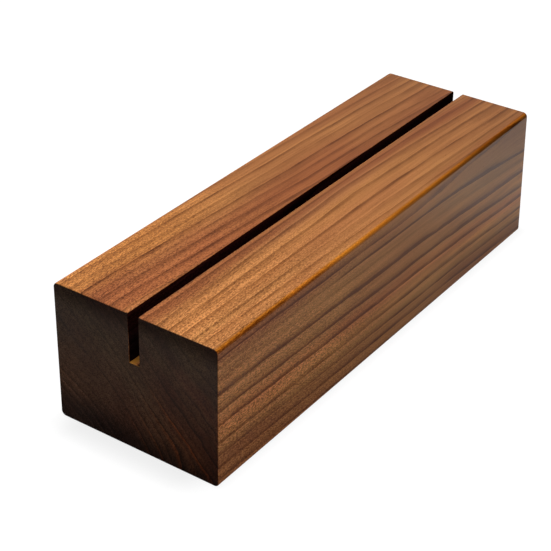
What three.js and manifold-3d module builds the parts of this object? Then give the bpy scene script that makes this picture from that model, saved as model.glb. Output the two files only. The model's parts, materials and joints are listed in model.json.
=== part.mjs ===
// Stand for a photo album: one solid hardwood block with a narrow slot along the middle of its top.
// The slot runs out through both ends. Four soft discs are set into the underside as feet.
//
// Millimetres, +Z up. +Y runs along the block, +X points out of one long side, and the front is the
// end at -Y. The origin is on the surface that the stand rests on, under the middle of the block.

import * as THREE from "three";
import { mergeVertices } from "three/addons/utils/BufferGeometryUtils.js";
import Module from "manifold-3d";

const wasm = await Module();
wasm.setup();

// Block
const blockLength = 205;
const blockWidth = 66;
const blockHeight = 52.5;
const edgeRadius = 1.8; // the four long edges are rounded over by this much
const endEase = 0.6; // the edges round both sawn ends are only eased, by this much

// Slot
const boardThickness = 4; // the thickest cover, card or sheet that stands in the slot
const boardClearance = 0.3; // spare width, both sides together
const slotDepth = 18.6;
const slotEase = 0.2; // how far the slot's sharp edges are broken, at 45 degrees

// Feet
const padDiameter = 12;
const padStandOff = 0.4; // how far a pad reaches below the wood
const padEase = 0.3; // round on a pad's lower rim
const recessDepth = 1.2; // flat-bottomed hole that a pad is seated in
const recessClearance = 0.25; // ring of space around a seated pad
const padFromEnd = 18; // end of the block to a pad's centre
const padFromSide = 14; // side of the block to a pad's centre

// Facets
const roundSteps = 8; // facets across each rounded long edge
const easeSteps = 4; // facets across each eased edge of an end
const padSteps = 48; // facets around a pad and its recess
const padEaseSteps = 3;

// Sizes that follow from the ones above
const slotWidth = boardThickness + boardClearance;
const slotFloor = blockHeight - slotDepth;
const padRadius = padDiameter / 2;
const padThickness = recessDepth + padStandOff;
const padX = blockWidth / 2 - padFromSide;
const padY = blockLength / 2 - padFromEnd;
const overrun = 5; // how far a cutter runs past the face that it cuts through

const walnut = new THREE.MeshStandardMaterial({ color: 0x7c4a2a, roughness: 0.42, metalness: 0 });
const rubber = new THREE.MeshStandardMaterial({ color: 0x2b2724, roughness: 0.85, metalness: 0 });

// Closed three.js geometry to a solid that can be cut
function toSolid(geometry) {
  const bare = geometry.clone();
  bare.deleteAttribute("normal");
  bare.deleteAttribute("uv");
  const merged = mergeVertices(bare);
  return new wasm.Manifold(new wasm.Mesh({
    numProp: 3,
    vertProperties: new Float32Array(merged.attributes.position.array),
    triVerts: new Uint32Array(merged.index.array),
  }));
}

function toGeometry(solid) {
  const mesh = solid.getMesh();
  const geometry = new THREE.BufferGeometry();
  geometry.setAttribute("position", new THREE.BufferAttribute(mesh.vertProperties, 3));
  geometry.setIndex(new THREE.BufferAttribute(mesh.triVerts, 1));
  geometry.computeVertexNormals();
  return geometry;
}

function roundedRectangle(width, height, radius) {
  const x = width / 2 - radius;
  const y = height / 2 - radius;
  const outline = new THREE.Shape();
  outline.absarc(x, y, radius, 0, Math.PI / 2);
  outline.absarc(-x, y, radius, Math.PI / 2, Math.PI);
  outline.absarc(-x, -y, radius, Math.PI, 1.5 * Math.PI);
  outline.absarc(x, -y, radius, 1.5 * Math.PI, 2 * Math.PI);
  return outline;
}

// The block before it is slotted, standing on z = 0: a bar with rounded long edges, cut to length.
// Its section is drawn smaller by the ease, and the bevel adds that back all round both ends.
function blank() {
  const width = blockWidth - 2 * endEase;
  const height = blockHeight - 2 * endEase;
  const section = roundedRectangle(width, height, edgeRadius - endEase);
  const geometry = new THREE.ExtrudeGeometry(section, {
    depth: blockLength - 2 * endEase,
    curveSegments: roundSteps,
    bevelThickness: endEase,
    bevelSize: endEase,
    bevelSegments: easeSteps,
  });
  geometry.rotateX(Math.PI / 2);
  geometry.translate(0, blockLength / 2 - endEase, blockHeight / 2);
  return toSolid(geometry);
}

// Section across the slot: upright walls, a flat floor, and a mouth that opens at 45 degrees where
// the edges along the top are broken. X is across the block, and Y is height.
function slotSection() {
  const wall = slotWidth / 2;
  const section = new THREE.Shape();
  section.moveTo(-wall, slotFloor);
  section.lineTo(wall, slotFloor);
  section.lineTo(wall, blockHeight - slotEase);
  section.lineTo(wall + slotEase + overrun, blockHeight + overrun);
  section.lineTo(-wall - slotEase - overrun, blockHeight + overrun);
  section.lineTo(-wall, blockHeight - slotEase);
  section.closePath();
  return section;
}

// The groove itself, from end to end
function groove() {
  const length = blockLength + 2 * overrun;
  const geometry = new THREE.ExtrudeGeometry(slotSection(), { depth: length, bevelEnabled: false });
  geometry.rotateX(Math.PI / 2);
  geometry.translate(0, length / 2, 0);
  return toSolid(geometry);
}

// A plug as wide as the slot inside the block and wider at its face. It breaks the edges of the
// walls and of the floor where they come out of the front end, or of the back end when turned.
function endFlare(turn) {
  const geometry = new THREE.ExtrudeGeometry(slotSection(), {
    depth: overrun,
    bevelThickness: slotEase,
    bevelSize: slotEase,
    bevelSegments: 1,
  });
  geometry.rotateX(Math.PI / 2);
  geometry.translate(0, -blockLength / 2, 0);
  geometry.rotateZ(turn);
  return toSolid(geometry);
}

// Flat-bottomed hole for a pad, up into the underside
function padRecess(x, y) {
  const radius = padRadius + recessClearance;
  const height = recessDepth + overrun;
  const geometry = new THREE.CylinderGeometry(radius, radius, height, padSteps);
  geometry.rotateX(Math.PI / 2);
  geometry.translate(x, y, recessDepth - height / 2);
  return toSolid(geometry);
}

function pad() {
  const profile = new THREE.Path();
  profile.moveTo(0, 0);
  profile.lineTo(padRadius - padEase, 0);
  profile.absarc(padRadius - padEase, padEase, padEase, -Math.PI / 2, 0);
  profile.lineTo(padRadius, padThickness);
  profile.lineTo(0, padThickness);
  const geometry = new THREE.LatheGeometry(profile.getPoints(padEaseSteps), padSteps);
  geometry.rotateX(Math.PI / 2);
  return geometry;
}

const footPlaces = [
  { name: "foot_pad_front_left", x: -padX, y: -padY },
  { name: "foot_pad_front_right", x: padX, y: -padY },
  { name: "foot_pad_rear_left", x: -padX, y: padY },
  { name: "foot_pad_rear_right", x: padX, y: padY },
];

const stand = new THREE.Group();

let wood = blank().subtract(groove());
wood = wood.subtract(endFlare(0));
wood = wood.subtract(endFlare(Math.PI));
for (const place of footPlaces) {
  wood = wood.subtract(padRecess(place.x, place.y));
}
const block = new THREE.Mesh(toGeometry(wood), walnut);
block.name = "block";
block.position.z = padStandOff;
stand.add(block);

for (const place of footPlaces) {
  const foot = new THREE.Mesh(pad(), rubber);
  foot.name = place.name;
  foot.position.set(place.x, place.y, 0);
  stand.add(foot);
}

export default stand;
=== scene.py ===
import json
import math

import bmesh
import bpy
from mathutils import Matrix, Vector


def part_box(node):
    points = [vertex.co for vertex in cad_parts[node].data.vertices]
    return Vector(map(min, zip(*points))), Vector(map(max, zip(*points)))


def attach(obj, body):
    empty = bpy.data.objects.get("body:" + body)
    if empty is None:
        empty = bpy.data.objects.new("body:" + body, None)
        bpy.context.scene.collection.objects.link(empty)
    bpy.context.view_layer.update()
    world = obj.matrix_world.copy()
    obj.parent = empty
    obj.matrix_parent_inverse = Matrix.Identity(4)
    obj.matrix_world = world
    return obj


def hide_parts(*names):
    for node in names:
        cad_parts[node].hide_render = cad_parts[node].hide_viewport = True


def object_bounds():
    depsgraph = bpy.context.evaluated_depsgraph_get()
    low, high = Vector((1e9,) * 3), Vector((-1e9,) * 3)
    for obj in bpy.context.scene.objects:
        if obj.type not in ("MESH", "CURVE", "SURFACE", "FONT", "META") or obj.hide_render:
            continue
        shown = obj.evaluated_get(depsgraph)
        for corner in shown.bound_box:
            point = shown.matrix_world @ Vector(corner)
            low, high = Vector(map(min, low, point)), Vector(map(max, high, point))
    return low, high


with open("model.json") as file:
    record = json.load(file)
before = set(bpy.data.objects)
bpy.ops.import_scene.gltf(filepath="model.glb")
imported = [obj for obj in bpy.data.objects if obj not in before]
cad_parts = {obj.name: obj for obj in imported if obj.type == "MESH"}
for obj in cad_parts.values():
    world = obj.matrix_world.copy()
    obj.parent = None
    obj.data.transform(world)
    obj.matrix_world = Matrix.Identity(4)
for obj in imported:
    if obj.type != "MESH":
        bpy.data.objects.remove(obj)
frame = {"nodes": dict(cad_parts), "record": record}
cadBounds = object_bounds()
blockLow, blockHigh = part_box("block")
slotInfo = frame["record"]["physics"]["openings"][0]


def newMaterial(name):
    material = bpy.data.materials.new(name)
    material.use_nodes = True
    tree = material.node_tree
    tree.nodes.clear()
    output = tree.nodes.new("ShaderNodeOutputMaterial")
    return material, tree, output


def feed(tree, socket, value):
    # a value is another node's socket, a number or a colour
    if isinstance(value, bpy.types.NodeSocket):
        tree.links.new(value, socket)
    else:
        socket.default_value = value


def calc(tree, operation, *values, clamp=False):
    node = tree.nodes.new("ShaderNodeMath")
    node.operation = operation
    node.use_clamp = clamp
    for socket, value in zip(node.inputs, values):
        feed(tree, socket, value)
    return node.outputs[0]


def times(tree, product, *others):
    for other in others:
        product = calc(tree, "MULTIPLY", product, other)
    return product


def oneMinus(tree, value):
    return calc(tree, "SUBTRACT", 1.0, value)


def ramp(tree, value, low, high, toLow=0.0, toHigh=1.0, smooth=True):
    # goes from toLow to toHigh as the value goes from low to high, and stays level past them
    node = tree.nodes.new("ShaderNodeMapRange")
    node.interpolation_type = "SMOOTHSTEP" if smooth else "LINEAR"
    for socket, given in zip(node.inputs, (value, low, high, toLow, toHigh)):
        feed(tree, socket, given)
    return node.outputs[0]


def curve(tree, value, spots, straight=False):
    # spots are (value, level) pairs
    levels = [level for at, level in spots]
    least, most = min(levels), max(levels)
    first, last = spots[0][0], spots[-1][0]
    node = tree.nodes.new("ShaderNodeFloatCurve")
    points = node.mapping.curves[0].points
    for at, level in spots[1:-1]:
        points.new((at - first) / (last - first), (level - least) / (most - least))
    points[0].location = (0.0, (levels[0] - least) / (most - least))
    points[-1].location = (1.0, (levels[-1] - least) / (most - least))
    for point in points:
        point.handle_type = "VECTOR" if straight else "AUTO"
    node.mapping.update()
    feed(tree, node.inputs["Value"], ramp(tree, value, first, last, smooth=False))
    return ramp(tree, node.outputs[0], 0.0, 1.0, least, most, smooth=False)


def stretched(tree, vector, scale):
    node = tree.nodes.new("ShaderNodeVectorMath")
    node.operation = "MULTIPLY"
    feed(tree, node.inputs[0], vector)
    node.inputs[1].default_value = scale
    return node.outputs[0]


def noise(tree, vector, scale, detail, roughness=0.5):
    node = tree.nodes.new("ShaderNodeTexNoise")
    feed(tree, node.inputs["Vector"], stretched(tree, vector, scale))
    node.inputs["Scale"].default_value = 1.0
    node.inputs["Detail"].default_value = detail
    node.inputs["Roughness"].default_value = roughness
    return node.outputs["Fac"]


def blend(tree, factor, first, second, mode="MIX"):
    node = tree.nodes.new("ShaderNodeMix")
    node.data_type = "RGBA"
    node.blend_type = mode
    feed(tree, node.inputs[0], factor)
    feed(tree, node.inputs[6], first)
    feed(tree, node.inputs[7], second)
    return node.outputs[2]


def tint(tree, factor, colour, shade):
    return blend(tree, factor, colour, blend(tree, 1.0, colour, shade, "MULTIPLY"))


def split(tree, vector):
    node = tree.nodes.new("ShaderNodeSeparateXYZ")
    feed(tree, node.inputs[0], vector)
    return node.outputs


def inMillimetres(tree, place):
    node = tree.nodes.new("ShaderNodeMapping")
    node.inputs["Scale"].default_value = (1000.0, 1000.0, 1000.0)
    feed(tree, node.inputs["Vector"], place.outputs["Object"])
    return node.outputs[0]


def bumped(tree, height, strength, distance):
    node = tree.nodes.new("ShaderNodeBump")
    node.inputs["Strength"].default_value = strength
    node.inputs["Distance"].default_value = distance
    feed(tree, node.inputs["Height"], height)
    return node.outputs[0]


def newGroup(name, inputs, outputs):
    group = bpy.data.node_groups.new(name, "ShaderNodeTree")
    for label, kind in inputs:
        group.interface.new_socket(name=label, in_out="INPUT", socket_type="NodeSocket" + kind)
    for label, kind in outputs:
        group.interface.new_socket(name=label, in_out="OUTPUT", socket_type="NodeSocket" + kind)
    entry = group.nodes.new("NodeGroupInput")
    leave = group.nodes.new("NodeGroupOutput")
    return group, entry.outputs, leave.inputs


def useGroup(tree, group, **given):
    node = tree.nodes.new("ShaderNodeGroup")
    node.node_tree = group
    for label, value in given.items():
        feed(tree, node.inputs[label], value)
    return node.outputs


# the tree that the block was sawn from, in millimetres
# its rings cross the block from the lower left edge to the upper right one
trunk = {
    # near the pith the rings arch, on the right of one curve and on the left of another
    "arch": 0.0043,
    "bendsRight": [(-45, -30), (12, -29), (17, -27), (24, -13), (31, 12), (37, 45), (90, 60)],
    "bendsLeft": [(-45, -12), (-8, -14), (0, -20), (12, -32), (30, -34), (90, -34)],
    "bendSoftness": 6.0,
    "leftReach": (-5.0, 19.0, 40.0, 20.0),  # how far the left arch goes on, from inner rings to outer ones
    "leftFlattens": (10.0, 36.0),
    # how far the rings are off straight ones, from the top left of the block to its bottom right
    "front": [(-86, 0.2), (-45, 0.2), (-20, 0.2), (-16.5, -1.9), (-4, -2.3), (3, -0.3), (8, -0.3),
              (12.6, 1.8), (15, 2.5), (20, 2.8), (27.4, 2.4), (31, 2.5), (33, 3.0)],
    "middle": [(-86, -3.9), (-79, -3.8), (-70, -4.4), (-65, -5.5), (-61, -6.2), (-56, -6.2), (-49, 0.5),
               (-46, 2.7), (-40, 1.6), (-34, 0.6), (-29, -0.6), (-24, -1.5), (-20, -1.6), (-13.5, 0.9),
               (-10, 0.8), (0, 1.8), (6, 3.8), (11, 3.5), (17.5, 5.5), (23, 6.0), (27, 4.9), (33, 4.6)],
    "rear": [(-86, -7.8), (-79, -8.0), (-70, -8.2), (-65, -8.7), (-61, -10.8), (-56, -11.6), (-49, -4.0),
             (-40, -2.5), (-34, -2.8), (-29, -3.8), (-24, -4.0), (-20, -2.8), (-13.5, 3.2), (-10, 6.2),
             (-5, 8.0), (4, 7.2), (10, 9.3), (14.5, 8.0), (20, 9.2), (25, 9.6), (29, 8.9), (33, 8.2)],
    # the places of those three along the block, and how the drift to the rear quickens
    "frontAt": -95.0,
    "middleAt": 5.0,
    "rearAt": 102.5,
    "quickening": 1.4,
    "frontShowsFrom": (14.0, 32.0),  # the front end is off only toward its right side
    # how far they are off in the middle of the front end, and where that fades
    "inside": 2.1,
    "insideAcross": (-45.0, 0.0),
    "insideFromPith": (5.0, 20.0),
    "insideRight": (20.0, 33.0, 1.0, 0.0),
    "insideLow": (0.0, 18.0, 0.3, 1.0),
    "insideHigh": (38.0, 50.0),
    # wandering, coarse to fine, as a noise's scale, its detail and how far it goes
    "wanders": [((0.04, 0.012, 0.04), 1.0, 0.9), ((0.15, 0.03, 0.15), 1.0, 0.7),
                ((0.7, 0.06, 0.7), 2.0, 0.5), ((2.5, 0.2, 2.5), 2.0, 0.25)],
}

# where each year ends, and how dark its line is on the top, on the right by the front, on the right by the
# rear and on the end grain
rings = [(-28.0, 0.4, 0.4, 0.4, 0.6), (-21.0, 0.5, 0.5, 0.5, 0.8), (-16.0, 0.5, 0.5, 0.5, 1.0),
         (-11.5, 0.6, 0.6, 0.6, 1.4), (-6.3, 0.7, 0.7, 0.7, 1.7), (-2.0, 0.4, 0.4, 0.4, 1.4),
         (2.5, 0.6, 0.6, 0.6, 0.8), (6.5, 0.5, 0.5, 0.5, 0.8), (11.6, 0.7, 0.7, 0.7, 1.7),
         (15.5, 0.5, 0.5, 0.5, 0.8), (19.2, 0.5, 0.7, 0.6, 1.3), (23.4, 0.85, 0.5, 0.5, 1.2),
         (27.5, 0.5, 0.8, 0.6, 2.0), (31.6, 1.05, 0.5, 0.5, 0.7), (35.2, 0.5, 0.7, 0.8, 1.8),
         (38.6, 0.8, 0.65, 0.8, 0.7), (43.4, 0.85, 0.75, 0.9, 2.0), (48.6, 0.6, 0.65, 0.9, 0.8),
         (53.0, 0.4, 0.7, 0.8, 1.5), (57.0, 0.75, 1.0, 1.1, 0.8), (62.2, 0.75, 0.85, 1.0, 0.7),
         (66.7, 0.75, 1.3, 1.2, 1.4), (72.0, 0.8, 0.3, 0.2, 0.6), (76.2, 0.65, 0.2, 1.3, 0.8),
         (79.9, 0.65, 1.3, 0.5, 0.8), (84.1, 0.6, 0.4, 0.2, 0.6), (88.5, 0.3, 0.3, 0.3, 0.5)]

ringLine = {
    # how its darkness fades, from one line to the next
    "fades": [(0.0, 0.9), (0.06, 1.0), (0.18, 0.8), (0.32, 0.36), (0.6, 0.14), (0.95, 0.0), (1.0, 0.0)],
    "edge": (0.5, 0.92),  # the part of a year before its line, which shows on the end grain
    "rearLift": (18.0, 32.0, 1.0, 1.45),  # lines by the rear are darker higher up the side
    "frontToRear": (-60.0, 10.0),
    "topToRight": (-28.0, -16.0),
    "breakScale": (0.3, 0.05, 0.3),  # each line comes and goes a little
    "breaks": (0.3, 0.7, 0.6, 1.4),
}

# how golden the wood is, against russet
golden = [(-30, 0.4), (10, 0.45), (21, 0.7), (25, 0.95), (29, 0.9), (31.5, 0.6), (34, 0.4), (40, 0.2),
          (47, 0.2), (51, 0.7), (55, 0.6), (58, 0.3), (61, 0.5), (64, 0.9), (73, 0.9), (78, 0.75),
          (82, 0.45), (90, 0.5)]

# and how pale it is, on the top toward the front and on the right
paleTop = [(-30, 1.0), (18, 1.0), (25, 0.92), (31, 0.84), (38, 0.94), (46, 1.0), (56, 0.9), (60, 0.82),
           (65, 0.95), (70, 1.02), (76, 1.0), (80, 1.16), (90, 1.2)]
paleTopFades = (-30.0, 40.0)  # toward the rear, where the top is evenly pale
paleTopRear = 0.99
paleRight = [(-30, 1.0), (33, 1.08), (41, 1.05), (46, 0.97), (49, 0.98), (52, 1.14), (54, 1.35), (57, 1.55),
             (60, 1.48), (63, 1.16), (70, 1.13), (76, 1.02), (79, 1.12), (82, 1.05), (85, 0.9), (90, 0.88)]


def buildGrowthRings():
    group, given, put = newGroup(
        "growthRings",
        [("Position", "Vector")],
        [("Line", "Float"), ("Golden", "Float"), ("Pale", "Float"),
         ("EndLine", "Float"), ("EndEdge", "Float"), ("Grain", "Vector")],
    )
    x, y, z = split(group, given["Position"])
    out = calc(group, "ADD", x, z)
    side = calc(group, "SUBTRACT", x, z)
    soft = trunk["bendSoftness"]
    bendRight = curve(group, out, trunk["bendsRight"], straight=True)
    bendLeft = curve(group, out, trunk["bendsLeft"], straight=True)
    pastRight = calc(group, "SMOOTH_MAX", calc(group, "SUBTRACT", side, bendRight), 0.0, soft)
    pastLeft = calc(group, "SMOOTH_MAX", calc(group, "SUBTRACT", bendLeft, side), 0.0, soft)
    pastLeft = calc(group, "SMOOTH_MIN", pastLeft, ramp(group, out, *trunk["leftReach"]), soft)
    leftArch = ramp(group, out, *trunk["leftFlattens"], trunk["arch"], 0.0, smooth=False)
    distance = out
    for past, arch in ((pastRight, trunk["arch"]), (pastLeft, leftArch)):
        distance = calc(group, "ADD", distance, times(group, past, past, arch))

    # the grain drifts from the front end to the rear one
    toMiddle = ramp(group, y, trunk["frontAt"], trunk["middleAt"], smooth=False)
    toRear = ramp(group, y, trunk["middleAt"], trunk["rearAt"], smooth=False)
    toRear = calc(group, "POWER", toRear, trunk["quickening"])
    byFront = oneMinus(group, toMiddle)
    byRight = times(group, byFront, ramp(group, x, *trunk["frontShowsFrom"], smooth=False))
    byMiddle = calc(group, "SUBTRACT", toMiddle, toRear)
    for name, share in (("front", byRight), ("middle", byMiddle), ("rear", toRear)):
        drift = times(group, curve(group, side, trunk[name]), share)
        distance = calc(group, "ADD", distance, drift)
    inside = ramp(group, side, *trunk["insideAcross"], 0.0, trunk["inside"])
    inside = times(group, inside, ramp(group, out, *trunk["insideFromPith"]))
    inside = times(group, inside, ramp(group, x, *trunk["insideRight"]))
    lower = ramp(group, z, *trunk["insideLow"])
    inside = times(group, inside, ramp(group, z, *trunk["insideHigh"], lower, 0.0), byFront)
    distance = calc(group, "ADD", distance, inside)
    for scale, detail, size in trunk["wanders"]:
        rise = calc(group, "SUBTRACT", noise(group, given["Position"], scale, detail, 0.55), 0.5)
        distance = calc(group, "ADD", distance, times(group, rise, size))

    years = curve(group, distance, [(ring[0], number) for number, ring in enumerate(rings)], straight=True)
    inYear = calc(group, "FRACT", years)
    topLine, frontLine, rearLine, endLine = [
        curve(group, distance, [(ring[0], ring[part]) for ring in rings], straight=True)
        for part in (1, 2, 3, 4)]
    rearLine = times(group, rearLine, ramp(group, z, *ringLine["rearLift"]))
    rightLine = ramp(group, y, *ringLine["frontToRear"], frontLine, rearLine)
    dark = ramp(group, side, *ringLine["topToRight"], topLine, rightLine)
    broken = noise(group, given["Position"], ringLine["breakScale"], 3.0, 0.65)
    dark = times(group, dark, ramp(group, broken, *ringLine["breaks"], smooth=False))
    fade = curve(group, inYear, ringLine["fades"], straight=True)
    feed(group, put["Line"], times(group, fade, dark))
    feed(group, put["EndLine"], times(group, fade, endLine))
    feed(group, put["EndEdge"], times(group, ramp(group, inYear, *ringLine["edge"]), endLine))
    feed(group, put["Golden"], curve(group, distance, golden))
    pale = ramp(group, y, *paleTopFades, curve(group, distance, paleTop), paleTopRear)
    pale = ramp(group, side, *ringLine["topToRight"], pale, curve(group, distance, paleRight))
    feed(group, put["Pale"], pale)
    grain = group.nodes.new("ShaderNodeCombineXYZ")
    for socket, value in zip(grain.inputs, (distance, y, side)):
        feed(group, socket, value)
    feed(group, put["Grain"], grain.outputs[0])
    return group


fibre = {
    "level": 0.5,  # what the streaks lie round
    # streaks a fraction of a millimetre wide and a centimetre or two long, down to mere specks
    # each layer has a noise's scale, its detail, and how strong it is by the front and by the rear
    "layers": [((0.7, 0.012, 0.4), 2.0, 0.35, 0.22), ((1.5, 0.05, 1.2), 2.0, 0.3, 0.09),
               ((3.4, 1.0, 3.2), 1.0, 1.0, 0.06)],
    "frontToRear": (-100.0, 20.0),
    # the specks are strongest low on the right side
    "crispRight": (31.5, 32.5, 0.0, 0.5),
    "crispLow": (20.0, 34.0, 1.0, 0.0),
    "crispFront": (-70.0, 20.0),
    "poreScale": (1.9, 0.45, 1.7),
    "poreSize": (0.1, 0.3, 1.0, 0.0),
    "poreGroupScale": (0.5, 0.05, 0.5),
    "poreGroups": (0.4, 0.62),
    "patchScale": (0.05, 0.014, 0.05),
}


def buildFibres():
    group, given, put = newGroup(
        "fibres",
        [("Position", "Vector"), ("Grain", "Vector")],
        [("Streaks", "Float"), ("Pores", "Float"), ("Patches", "Float")],
    )
    x, y, z = split(group, given["Position"])
    streaks = fibre["level"]
    for scale, detail, front, rear in fibre["layers"]:
        layer = calc(group, "SUBTRACT", noise(group, given["Grain"], scale, detail, 0.6), 0.5)
        strength = ramp(group, y, *fibre["frontToRear"], front, rear)
        streaks = calc(group, "ADD", streaks, times(group, layer, strength))
    specks = layer
    crisp = times(group, ramp(group, x, *fibre["crispRight"]), ramp(group, z, *fibre["crispLow"]))
    crisp = times(group, specks, ramp(group, y, *fibre["crispFront"], crisp, 0.0))
    feed(group, put["Streaks"], calc(group, "ADD", streaks, crisp))

    cells = group.nodes.new("ShaderNodeTexVoronoi")
    cells.feature = "F1"
    cells.inputs["Scale"].default_value = 1.0
    feed(group, cells.inputs["Vector"], stretched(group, given["Grain"], fibre["poreScale"]))
    groups = ramp(group, noise(group, given["Grain"], fibre["poreGroupScale"], 1.0), *fibre["poreGroups"])
    pores = ramp(group, cells.outputs["Distance"], *fibre["poreSize"])
    feed(group, put["Pores"], times(group, groups, pores))

    feed(group, put["Patches"], noise(group, given["Position"], fibre["patchScale"], 2.0))
    return group


walnut = {
    "gold": (0.51, 0.21, 0.07, 1.0),
    "russet": (0.345, 0.109, 0.038, 1.0),
    "patchiness": (0.3, 0.7, -0.3, 0.3),
    "line": (0.27, 0.165, 0.05, 1.0),  # what a year's line keeps of the colour round it
    "lineOnTop": (0.3, 0.8, 0.78, 1.0),  # lines are a little weaker off the sides
    "darkFibre": (0.45, 0.35, 0.25, 1.0),
    "paleFibre": (1.55, 1.6, 1.5, 1.0),
    "fibreContrast": (0.36, 0.64),
    "pore": (0.62, 0.5, 0.4, 1.0),
    "poreDepth": 0.7,
    "orange": (1.9, 1.3, 0.85, 1.0),
    # the slot's floor: bare sawn wood, with the golden glow of light falling into the slot painted into its
    # colour
    "sawnAndLitFloor": (0.45, 0.19, 0.03, 1.0),
    "bareAndLitFloorShare": 0.85,
    "middle": -4.0,  # what lies halfway along is centred here
    "slope": 0.12,  # of the painted shadow, a dark strip along the bottom of the ends
    "lowRight": (-35.0, 25.0),
    "bandScale": (0.2, 0.01, 0.03),
    "roughness": (0.3, 0.7, 0.6, 0.5),  # over the streaks, low to high
    "endRoughness": 0.3,
    "streakHeight": 0.5,
    "poreDip": 0.8,
    "bumpStrength": 0.35,
    "bumpHeight": 0.00006,
}

# how orange each year's edge is on the end grain, from the pith outward
orangeEdges = [(-30, 0.0), (6, 0.0), (10.8, 0.55), (13, 0.1), (16, 0.15), (18.7, 0.75), (20.5, 0.15),
               (24, 0.1), (26.8, 0.5), (29, 0.15), (31.5, 0.3), (34.3, 1.0), (36, 0.3), (40, 0.1), (90, 0.0)]

# tints of the wood, each on one kind of surface, with what it fades along and between which two places
# after them come its shares at the two, which are 0 and 1 where they aren't given
tints = [
    # the top is redder halfway along on the right, darker there by the slot, paler toward its front right
    # corner and more golden toward its front left one
    ("top", (0.88, 0.82, 0.86), [("x", 12, 21), ("x", 24, 31, 1, 0.3), ("fromMiddle", 15, 60, 1, 0)]),
    ("top", (0.85, 0.8, 0.9), [("x", 3, 6), ("x", 8, 12, 1, 0), ("fromMiddle", 15, 60, 1, 0)]),
    ("top", (1.09, 1.28, 1.26), [("x", 19, 29), ("y", -55, 0, 1, 0.3)]),
    ("top", (1.1, 1.04, 0.85), [("x", -23, -14, 1, 0), ("y", -70, 0, 1, 0)]),
    # the end grain is dark, greyer toward its top and left, and redder toward the lower right
    ("end", (0.225, 0.283, 0.53), []),
    ("end", (0.72, 0.82, 0.78), [("z", 10, 52)]),
    ("end", (0.62, 0.54, 0.52), [("z", 44, 52)]),
    # painted shadow: a dark strip along the bottom of the ends, where the block meets the floor
    ("end", (0.38, 0.44, 0.55), [("sloping", 2, 14, 1, 0)]),
    ("end", (1.5, 1.45, 1.4), [("x", -31, -16, 1, 0), ("z", 22, 40, 1, 0)]),
    ("end", (0.82, 0.78, 0.8), [("x", 25, 31)]),
    ("endLowRight", (1.08, 0.78, 0.62), []),
    ("end", (0.85, 0.85, 0.85), [("bands", 0.45, 0.7)]),
    # its rings show as dark lines with pale edges by the pith
    ("endLine", (0.45, 0.45, 0.45), [("lowRight", 0, 0.6, 0.4, 0.7)]),
    ("endEdge", (1.35, 1.35, 1.4), [("fromPith", -12, -2, 1, 0), ("z", 10, 26, 1, 0)]),
    # painted shade makes the slot's walls dark, and painted light makes them redder toward their top
    ("slotWall", (0.032, 0.032, 0.12), []),
    ("slotWall", (2.4, 1.6, 1.1), [("z", 40, 51)]),
    # the sides are more olive past the front end, then duller toward the top rear and greyer below
    ("side", (1.03, 1.1, 1.05), [("y", -85, -30)]),
    ("side", (0.68, 0.75, 0.68), [("y", -10, 90), ("z", 15, 48)]),
    ("side", (1.03, 1.14, 1.13), [("y", -10, 90), ("z", 15, 30, 1, 0)]),
    # the rounded long edges carry no oil film; their brighter orange is painted light that they catch, and
    # painted shade makes a darker strip along the top ones
    ("rounded", (1.25, 1.0, 0.3), [("sideways", 0.2, 0.6), ("upright", 0.25, 0.6)]),
    ("rounded", (0.68, 0.66, 0.7), [("upward", 0.05, 0.35), ("upward", 0.6, 0.85, 1, 0)]),
]

# how each kind of surface is told from the way it faces, and the slot also from its place in millimetres
facing = {
    "end": (0.6, 0.92),
    "slotRim": (0.15, 0.5),  # where the slot runs out at the ends
    "slotRimWidth": 0.6,
    "top": (0.5, 0.9),
    "side": (0.5, 0.9),
    "rounded": (0.12, 0.3),
    "roundedFrom": 10.0,  # from the middle of the block outward
    "slotWall": (0.75, 0.95),
    "slotFloor": (0.6, 0.9),
    "slotFloorHeight": 1.0,
    "besideSlot": 0.05,  # margins round the slot
    "belowSlot": 0.3,
}

# the film of oil, as a coat's weight
oil = {
    "onFaces": 0.3,
    "lowDown": (0.0, 45.0),  # it thins toward the bottom, and most of all by the front
    "lowFrontToRear": (-60.0, 90.0, 0.55, 1.0),
    "frontToRear": (-100.0, 100.0, 0.9, 1.1),
    "sideFrontToRear": (-100.0, 60.0, 0.2, 0.65),  # what the sides have on top of that
    "onEnds": 0.15,
    "endBottom": 0.3,
    "endTopEdge": (44.0, 52.0, 1.0, 0.4),
    "roughness": 0.32,
}


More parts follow.
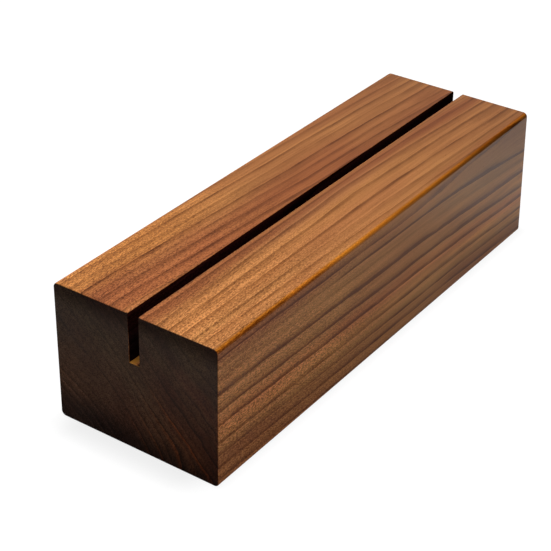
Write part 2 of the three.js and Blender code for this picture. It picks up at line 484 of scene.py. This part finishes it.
def buildWalnut(growthRings, fibres):
    material, tree, output = newMaterial("walnutOiled")
    place = tree.nodes.new("ShaderNodeTexCoord")
    position = inMillimetres(tree, place)
    ring = useGroup(tree, growthRings, Position=position)
    grain = useGroup(tree, fibres, Position=position, Grain=ring["Grain"])
    x, y, z = split(tree, position)
    normal = split(tree, place.outputs["Normal"])
    sideways, endways, upright = [calc(tree, "ABSOLUTE", part) for part in normal]
    acrossSlot = calc(tree, "ABSOLUTE", x)
    halfSlot = slot["width"] * 1000 / 2
    slotFloor = slot["floor"] * 1000

    # sawn across the fibres at the two ends
    byRim = calc(tree, "LESS_THAN", acrossSlot, halfSlot + facing["slotRimWidth"])
    slotRim = times(tree, ramp(tree, endways, *facing["slotRim"]), byRim)
    endOn = calc(tree, "MAXIMUM", ramp(tree, endways, *facing["end"]), slotRim)
    longWise = oneMinus(tree, endOn)

    # the slot is left as the saw cut it
    inSlot = times(tree, calc(tree, "LESS_THAN", acrossSlot, halfSlot + facing["besideSlot"]),
                   calc(tree, "GREATER_THAN", z, slotFloor - facing["belowSlot"]))
    onFloor = times(tree, inSlot, ramp(tree, normal[2], *facing["slotFloor"]),
                    calc(tree, "LESS_THAN", z, slotFloor + facing["slotFloorHeight"]))
    onSide = ramp(tree, sideways, *facing["side"])
    rounded = times(tree, ramp(tree, sideways, *facing["rounded"]), ramp(tree, upright, *facing["rounded"]),
                    calc(tree, "GREATER_THAN", acrossSlot, facing["roundedFrom"]))
    lowRight = ramp(tree, calc(tree, "SUBTRACT", x, z), *walnut["lowRight"])
    endEdge = times(tree, ring["EndEdge"], endOn)
    surfaces = {
        "top": ramp(tree, normal[2], *facing["top"]),
        "end": endOn,
        "endLowRight": times(tree, endOn, lowRight),
        "endLine": times(tree, ring["EndLine"], endOn),
        "endEdge": endEdge,
        "slotWall": times(tree, inSlot, ramp(tree, sideways, *facing["slotWall"])),
        "side": onSide,
        "rounded": rounded,
    }
    fromPith = split(tree, ring["Grain"])[0]
    along = {
        "x": x,
        "y": y,
        "z": z,
        "lowRight": lowRight,
        "sloping": calc(tree, "ADD", z, times(tree, x, walnut["slope"])),
        "fromMiddle": calc(tree, "ABSOLUTE", calc(tree, "SUBTRACT", y, walnut["middle"])),
        "fromPith": fromPith,
        "bands": noise(tree, ring["Grain"], walnut["bandScale"], 2.0, 0.6),
        "sideways": sideways,
        "upright": upright,
        "upward": normal[2],
    }

    tone = calc(tree, "ADD", ring["Golden"], ramp(tree, grain["Patches"], *walnut["patchiness"]), clamp=True)
    colour = blend(tree, tone, walnut["russet"], walnut["gold"])
    colour = blend(tree, 1.0, colour, ring["Pale"], "MULTIPLY")
    streak = ramp(tree, grain["Streaks"], *walnut["fibreContrast"], smooth=False)
    streak = blend(tree, streak, walnut["darkFibre"], walnut["paleFibre"])
    colour = blend(tree, 1.0, colour, streak, "MULTIPLY")
    line = times(tree, ring["Line"], ramp(tree, sideways, *walnut["lineOnTop"]), longWise)
    colour = tint(tree, line, colour, walnut["line"])
    colour = tint(tree, times(tree, grain["Pores"], walnut["poreDepth"]), colour, walnut["pore"])
    orange = times(tree, endEdge, lowRight, curve(tree, fromPith, orangeEdges))
    colour = tint(tree, orange, colour, walnut["orange"])
    for surface, shade, fades in tints:
        share = surfaces[surface]
        for name, *ends in fades:
            share = times(tree, share, ramp(tree, along[name], *ends))
        colour = tint(tree, share, colour, (*shade, 1.0))
    # the slot's floor takes the colour of bare sawn wood, partly painted light that falls into the slot
    colour = blend(tree, times(tree, onFloor, walnut["bareAndLitFloorShare"]), colour, walnut["sawnAndLitFloor"])

    film = times(tree, longWise, oneMinus(tree, inSlot), oneMinus(tree, rounded))
    lowest = ramp(tree, y, *oil["lowFrontToRear"])
    film = times(tree, film, ramp(tree, z, *oil["lowDown"], lowest, 1.0))
    onSides = times(tree, ramp(tree, y, *oil["sideFrontToRear"]), onSide)
    film = times(tree, film, calc(tree, "ADD", ramp(tree, y, *oil["frontToRear"]), onSides), oil["onFaces"])
    endTop = ramp(tree, z, *oil["endTopEdge"])
    endFilm = times(tree, endOn, oil["onEnds"], ramp(tree, z, *oil["lowDown"], oil["endBottom"], endTop))

    surface = tree.nodes.new("ShaderNodeBsdfPrincipled")
    feed(tree, surface.inputs["Base Color"], colour)
    rough = ramp(tree, grain["Streaks"], *walnut["roughness"])
    rough = calc(tree, "ADD", rough, times(tree, endOn, walnut["endRoughness"]), clamp=True)
    feed(tree, surface.inputs["Roughness"], rough)
    surface.inputs["Specular IOR Level"].default_value = 0.0
    feed(tree, surface.inputs["Coat Weight"], calc(tree, "ADD", film, endFilm))
    surface.inputs["Coat Roughness"].default_value = oil["roughness"]
    height = calc(tree, "SUBTRACT", times(tree, grain["Streaks"], walnut["streakHeight"]),
                  times(tree, grain["Pores"], walnut["poreDip"]))
    feed(tree, surface.inputs["Normal"], bumped(tree, height, walnut["bumpStrength"], walnut["bumpHeight"]))
    feed(tree, output.inputs["Surface"], surface.outputs[0])
    return material


rubber = {
    "dark": (0.018, 0.016, 0.015, 1.0),
    "worn": (0.045, 0.041, 0.038, 1.0),
    "cloudScale": (0.35, 0.35, 0.35),
    "clouds": (0.35, 0.7),
    "grainScale": (6.0, 6.0, 6.0),
    "roughness": (0.3, 0.7, 0.7, 0.9),
    "bumpStrength": 0.4,
    "bumpHeight": 0.00005,
}


def buildRubber():
    material, tree, output = newMaterial("padRubber")
    position = inMillimetres(tree, tree.nodes.new("ShaderNodeTexCoord"))
    grain = noise(tree, position, rubber["grainScale"], 3.0, 0.6)
    cloud = ramp(tree, noise(tree, position, rubber["cloudScale"], 3.0, 0.6), *rubber["clouds"])
    surface = tree.nodes.new("ShaderNodeBsdfPrincipled")
    feed(tree, surface.inputs["Base Color"], blend(tree, cloud, rubber["dark"], rubber["worn"]))
    feed(tree, surface.inputs["Roughness"], ramp(tree, grain, *rubber["roughness"]))
    feed(tree, surface.inputs["Normal"], bumped(tree, grain, rubber["bumpStrength"], rubber["bumpHeight"]))
    feed(tree, output.inputs["Surface"], surface.outputs[0])
    return material


# sizes of the mesh pieces, in metres
block = {
    "bottomLeft": 0.0018,  # rounding of each long edge
    "bottomRight": 0.0016,
    "topLeft": 0.0018,
    "topRight": 0.0018,
    "roundSteps": 8,
    "front": 0.00036,  # the front end's edges are only eased
    "rear": 0.0009,
    "endSteps": 4,
    "strips": 16,  # pieces along the block, so that the lean runs evenly
    "lean": 0.0018,  # how far in the rear top right corner lies
}
slot = {
    "width": 0.0043,
    "floor": slotInfo["box_m"][0][2] - 0.0001,  # the opening is given from just above the floor
    "ease": 0.0002,
    "easeSteps": 3,
    "sharperThan": math.radians(50),  # only such edges of it are eased
    "weld": 0.000002,  # points this close after the cut are one
    "over": 0.005,  # how far the cutter reaches past the wood
}
recess = {
    "radius": 0.00625,
    "depth": 0.0012,
    "steps": 96,
}


def finished(name, bm):
    mesh = bpy.data.meshes.new(name)
    bm.to_mesh(mesh)
    bm.free()
    piece = bpy.data.objects.new(name, mesh)
    bpy.context.scene.collection.objects.link(piece)
    return piece


def evenNormals(piece):
    even = piece.modifiers.new("even normals", "WEIGHTED_NORMAL")
    even.weight = 100


def isAt(value, target, near=0.00001):
    return abs(value - target) < near


def bevel(bm, edges, size, steps, keepApart):
    bmesh.ops.bevel(bm, geom=edges, offset=size, offset_type="OFFSET", affect="EDGES", segments=steps,
                    profile=0.5, material=-1, clamp_overlap=keepApart)


def padPlaces():
    places = {}
    for node in sorted(frame["nodes"]):
        if node.startswith("foot_pad"):
            low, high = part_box(node)
            places[node] = {"x": (low.x + high.x) / 2, "y": (low.y + high.y) / 2,
                            "low": low.z, "high": high.z, "radius": (high.x - low.x) / 2}
    return places


def makeBlank():
    bm = bmesh.new()
    bmesh.ops.create_cube(bm, size=1.0)
    size = blockHigh - blockLow
    bmesh.ops.scale(bm, vec=size, verts=bm.verts)
    bmesh.ops.translate(bm, vec=(blockHigh + blockLow) / 2, verts=bm.verts)

    for name, x, z in (("bottomLeft", blockLow.x, blockLow.z), ("bottomRight", blockHigh.x, blockLow.z),
                       ("topLeft", blockLow.x, blockHigh.z), ("topRight", blockHigh.x, blockHigh.z)):
        corner = [edge for edge in bm.edges if all(isAt(v.co.x, x) and isAt(v.co.z, z) for v in edge.verts)]
        bevel(bm, corner, block[name], block["roundSteps"], False)
    for name, y in (("front", blockLow.y), ("rear", blockHigh.y)):
        rim = [edge for edge in bm.edges if all(isAt(v.co.y, y) for v in edge.verts)]
        bevel(bm, rim, block[name], block["endSteps"], False)

    for number in range(1, block["strips"]):
        y = blockLow.y + size.y * number / block["strips"]
        bmesh.ops.bisect_plane(bm, geom=bm.verts[:] + bm.edges[:] + bm.faces[:], plane_co=(0, y, 0),
                               plane_no=(0, 1, 0))
    for vert in bm.verts:
        if vert.co.x > 0:
            toRear = (vert.co.y - blockLow.y) / size.y
            up = (vert.co.z - blockLow.z) / size.z
            vert.co.x -= block["lean"] * toRear * up
    return finished("walnut_block", bm)


def makeCutter():
    bm = bmesh.new()
    over = slot["over"]
    length = blockHigh.y - blockLow.y + 2 * over
    height = blockHigh.z + over - slot["floor"]
    made = bmesh.ops.create_cube(bm, size=1.0)["verts"]
    bmesh.ops.scale(bm, vec=(slot["width"], length, height), verts=made)
    bmesh.ops.translate(bm, vec=(0, 0, slot["floor"] + height / 2), verts=made)
    top = blockLow.z + recess["depth"]
    for place in padPlaces().values():
        made = bmesh.ops.create_cone(bm, cap_ends=True, segments=recess["steps"], radius1=recess["radius"],
                                     radius2=recess["radius"], depth=2 * over)["verts"]
        bmesh.ops.translate(bm, vec=(place["x"], place["y"], top - over), verts=made)
    return finished("cutter", bm)


def isSlotArris(edge):
    if len(edge.link_faces) != 2 or edge.calc_face_angle(0.0) < slot["sharperThan"]:
        return False
    half = slot["width"] / 2
    floor = slot["floor"]
    ends = [v.co for v in edge.verts]
    onWall = all(isAt(abs(c.x), half) and (c.z > floor or isAt(c.z, floor)) for c in ends)
    onFloor = all(isAt(c.z, floor) and (abs(c.x) < half or isAt(abs(c.x), half)) for c in ends)
    return onWall != onFloor


def makeBlock(material):
    piece = makeBlank()
    cutter = makeCutter()
    cut = piece.modifiers.new("cut", "BOOLEAN")
    cut.object = cutter
    cut.operation = "DIFFERENCE"
    cut.solver = "EXACT"
    with bpy.context.temp_override(object=piece, active_object=piece, selected_objects=[piece]):
        bpy.ops.object.modifier_apply(modifier=cut.name)
    bpy.data.objects.remove(cutter)

    bm = bmesh.new()
    bm.from_mesh(piece.data)
    bmesh.ops.remove_doubles(bm, verts=bm.verts, dist=slot["weld"])
    bevel(bm, [edge for edge in bm.edges if isSlotArris(edge)], slot["ease"], slot["easeSteps"], True)
    bmesh.ops.recalc_face_normals(bm, faces=bm.faces)
    for face in bm.faces:
        face.smooth = True
    bm.to_mesh(piece.data)
    bm.free()
    evenNormals(piece)
    piece.data.materials.append(material)
    return piece


pad = {
    "ease": 0.0003,  # of the lower rim
    "easeSteps": 4,
    "steps": 96,
}


def makePad(name, place, material):
    low, high, radius = place["low"], place["high"], place["radius"]
    bm = bmesh.new()
    made = bmesh.ops.create_cone(bm, cap_ends=True, segments=pad["steps"], radius1=radius, radius2=radius,
                                 depth=high - low)["verts"]
    bmesh.ops.translate(bm, vec=(place["x"], place["y"], (low + high) / 2), verts=made)
    rim = [edge for edge in bm.edges if all(isAt(v.co.z, low) for v in edge.verts)]
    bevel(bm, rim, pad["ease"], pad["easeSteps"], False)
    for face in bm.faces:
        face.smooth = True
    piece = finished(name, bm)
    evenNormals(piece)
    piece.data.materials.append(material)
    return piece


shot = {
    "azimuth": math.radians(34.52),
    "elevation": math.radians(31.532),
    "roll": math.radians(1.138),
    "distance": 0.56749,
    "slideRight": -0.01425,
    "slideUp": -0.0083,
    "lens": 101.644,
    "sensor": 36.0,
    "clip": (0.01, 50.0),
}


def makeCamera():
    data = bpy.data.cameras.new("camera")
    data.lens = shot["lens"]
    data.sensor_width = shot["sensor"]
    data.clip_start, data.clip_end = shot["clip"]
    camera = bpy.data.objects.new("camera", data)
    bpy.context.scene.collection.objects.link(camera)
    sinA, cosA = math.sin(shot["azimuth"]), math.cos(shot["azimuth"])
    sinE, cosE = math.sin(shot["elevation"]), math.cos(shot["elevation"])
    sinR, cosR = math.sin(shot["roll"]), math.cos(shot["roll"])
    back = Vector((sinA * cosE, -cosA * cosE, sinE))
    right = Vector((cosA, sinA, 0.0))
    up = back.cross(right)
    tiltedRight = right * cosR + up * sinR
    tiltedUp = up * cosR - right * sinR
    middle = (blockLow + blockHigh) / 2
    spot = middle + back * shot["distance"] + tiltedRight * shot["slideRight"] + tiltedUp * shot["slideUp"]
    turn = Matrix((tiltedRight, tiltedUp, back)).transposed().to_4x4()
    camera.matrix_world = Matrix.Translation(spot) @ turn
    bpy.context.scene.camera = camera


# where each lamp hangs, what it points at, its width and height, and its power
lamps = {
    "overhead": ((0.0, -0.14, 0.45), (0, -0.14, 0), (0.45, 0.24), 1.98),
    "rightFill": ((1.3, 0.3, 0.45), (0, 0, 0.03), (0.7, 0.5), 3.9),
    "leftFill": ((-1.2, 0.6, 0.5), (0, 0, 0.03), (0.7, 0.5), 3.5),
}


def makeLamp(name):
    spot, aim, size, power = lamps[name]
    data = bpy.data.lights.new(name, "AREA")
    data.shape = "RECTANGLE"
    data.size, data.size_y = size
    data.energy = power
    lamp = bpy.data.objects.new(name, data)
    bpy.context.scene.collection.objects.link(lamp)
    lamp.location = spot
    lamp.rotation_euler = (Vector(aim) - Vector(spot)).to_track_quat("-Z", "Y").to_euler()


studio = {
    "white": (1.0, 1.0, 1.0, 1.0),
    "fill": 0.02,
    # the white backdrop goes a little grey higher up, where only reflections show it
    "backdropDims": (0.1, 0.7, 1.0, 0.5),
    # how pale the floor is in its light on the block, in reflections and to the camera
    "floorBounce": 0.12,
    "floorMirrored": 0.75,
    "floorSeen": 0.1,
    "floorHalfWidth": 6.0,
    "mirroredGlow": (0.2, 0.8),  # by the block and away from it, so that reflections show a painted shade on the floor by the block
    "glowReach": (0.08, 0.16),
    # a soft shade hugs the block, and it is deepest before the front end, toward the left
    "shadeDepth": 0.09,  # along the sides and behind
    "shadeLeft": (-0.034, -0.024, 0.5, 1.0),  # across, before the front end
    "shadeRight": (0.018, 0.034, 0.21, 0.07),
    "shadeTurns": (-0.0015, 0.005),  # from the front's shade to the sides' one, about the front end
    "shadeBeside": (0.033, 0.038, 1.0, 0.0),
    "shadeBefore": 0.018,  # how far it reaches
    "shadeBehind": 0.005,
}


def mixShaders(tree, factor, first, second):
    mix = tree.nodes.new("ShaderNodeMixShader")
    for socket, value in zip(mix.inputs, (factor, first, second)):
        feed(tree, socket, value)
    return mix.outputs[0]


def makeWorld():
    world = bpy.data.worlds.new("studio")
    bpy.context.scene.world = world
    world.use_nodes = True
    tree = world.node_tree
    tree.nodes.clear()
    output = tree.nodes.new("ShaderNodeOutputWorld")
    path = tree.nodes.new("ShaderNodeLightPath").outputs
    mirrored = calc(tree, "MAXIMUM", path["Is Glossy Ray"], path["Is Transmission Ray"])
    seen = calc(tree, "MAXIMUM", path["Is Camera Ray"], mirrored)
    up = split(tree, tree.nodes.new("ShaderNodeTexCoord").outputs["Generated"])[2]
    dimmed = ramp(tree, up, *studio["backdropDims"])
    backdrop = calc(tree, "MAXIMUM", dimmed, path["Is Camera Ray"])
    lights = []
    for strength in (studio["fill"], backdrop):
        light = tree.nodes.new("ShaderNodeBackground")
        light.inputs["Color"].default_value = studio["white"]
        feed(tree, light.inputs["Strength"], strength)
        lights.append(light.outputs[0])
    feed(tree, output.inputs["Surface"], mixShaders(tree, seen, *lights))


def mattAndGlow(tree, grey, glow):
    matt = tree.nodes.new("ShaderNodeBsdfDiffuse")
    matt.inputs["Color"].default_value = (grey, grey, grey, 1.0)
    light = tree.nodes.new("ShaderNodeEmission")
    feed(tree, light.inputs["Strength"], glow)
    both = tree.nodes.new("ShaderNodeAddShader")
    feed(tree, both.inputs[0], matt.outputs[0])
    feed(tree, both.inputs[1], light.outputs[0])
    return both.outputs[0]


def makeFloor():
    bm = bmesh.new()
    bmesh.ops.create_grid(bm, x_segments=1, y_segments=1, size=studio["floorHalfWidth"])
    bmesh.ops.translate(bm, vec=(0, 0, cadBounds[0][2]), verts=bm.verts)
    floor = finished("floor", bm)
    material, tree, output = newMaterial("paleTable")
    path = tree.nodes.new("ShaderNodeLightPath").outputs
    mirrored = calc(tree, "MAXIMUM", path["Is Glossy Ray"], path["Is Transmission Ray"])
    place = tree.nodes.new("ShaderNodeTexCoord").outputs["Object"]
    x, y = split(tree, place)[:2]
    reach = tree.nodes.new("ShaderNodeVectorMath")
    reach.operation = "LENGTH"
    feed(tree, reach.inputs[0], place)
    away = ramp(tree, reach.outputs["Value"], *studio["glowReach"])

    # the shade is painted into the floor's glow to the camera, laid out from the block's place
    before = times(tree, ramp(tree, x, *studio["shadeLeft"]), ramp(tree, x, *studio["shadeRight"]))
    turnsFrom, turnsTo = [blockLow.y + shift for shift in studio["shadeTurns"]]
    shade = ramp(tree, y, turnsFrom, turnsTo, before, studio["shadeDepth"])
    shade = times(tree, shade, ramp(tree, calc(tree, "ABSOLUTE", x), *studio["shadeBeside"]),
                  ramp(tree, y, blockLow.y - studio["shadeBefore"], blockLow.y),
                  ramp(tree, y, blockHigh.y, blockHigh.y + studio["shadeBehind"], 1.0, 0.0))

    surface = mattAndGlow(tree, studio["floorBounce"], 0.0)
    # what reflections show of the floor is painted dimmer near the block, a painted shade
    glow = ramp(tree, away, 0.0, 1.0, *studio["mirroredGlow"])
    reflected = mattAndGlow(tree, studio["floorMirrored"], glow)
    surface = mixShaders(tree, mirrored, surface, reflected)
    seen = mattAndGlow(tree, studio["floorSeen"], oneMinus(tree, shade))
    surface = mixShaders(tree, path["Is Camera Ray"], surface, seen)
    feed(tree, output.inputs["Surface"], surface)
    floor.data.materials.append(material)


bpy.context.scene.view_settings.view_transform = "Standard"
makeCamera()
makeWorld()
makeFloor()
for name in lamps:
    makeLamp(name)
print("camera, lamps and floor placed")

walnutOiled = buildWalnut(buildGrowthRings(), buildFibres())
padRubber = buildRubber()
print("finishes built")

wood = makeBlock(walnutOiled)
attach(wood, "root")
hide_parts("block")
print("block made")

for node, place in padPlaces().items():
    foot = makePad(node.replace("foot_pad", "rubber_pad"), place, padRubber)
    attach(foot, "root")
    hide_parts(node)
print("pads made")
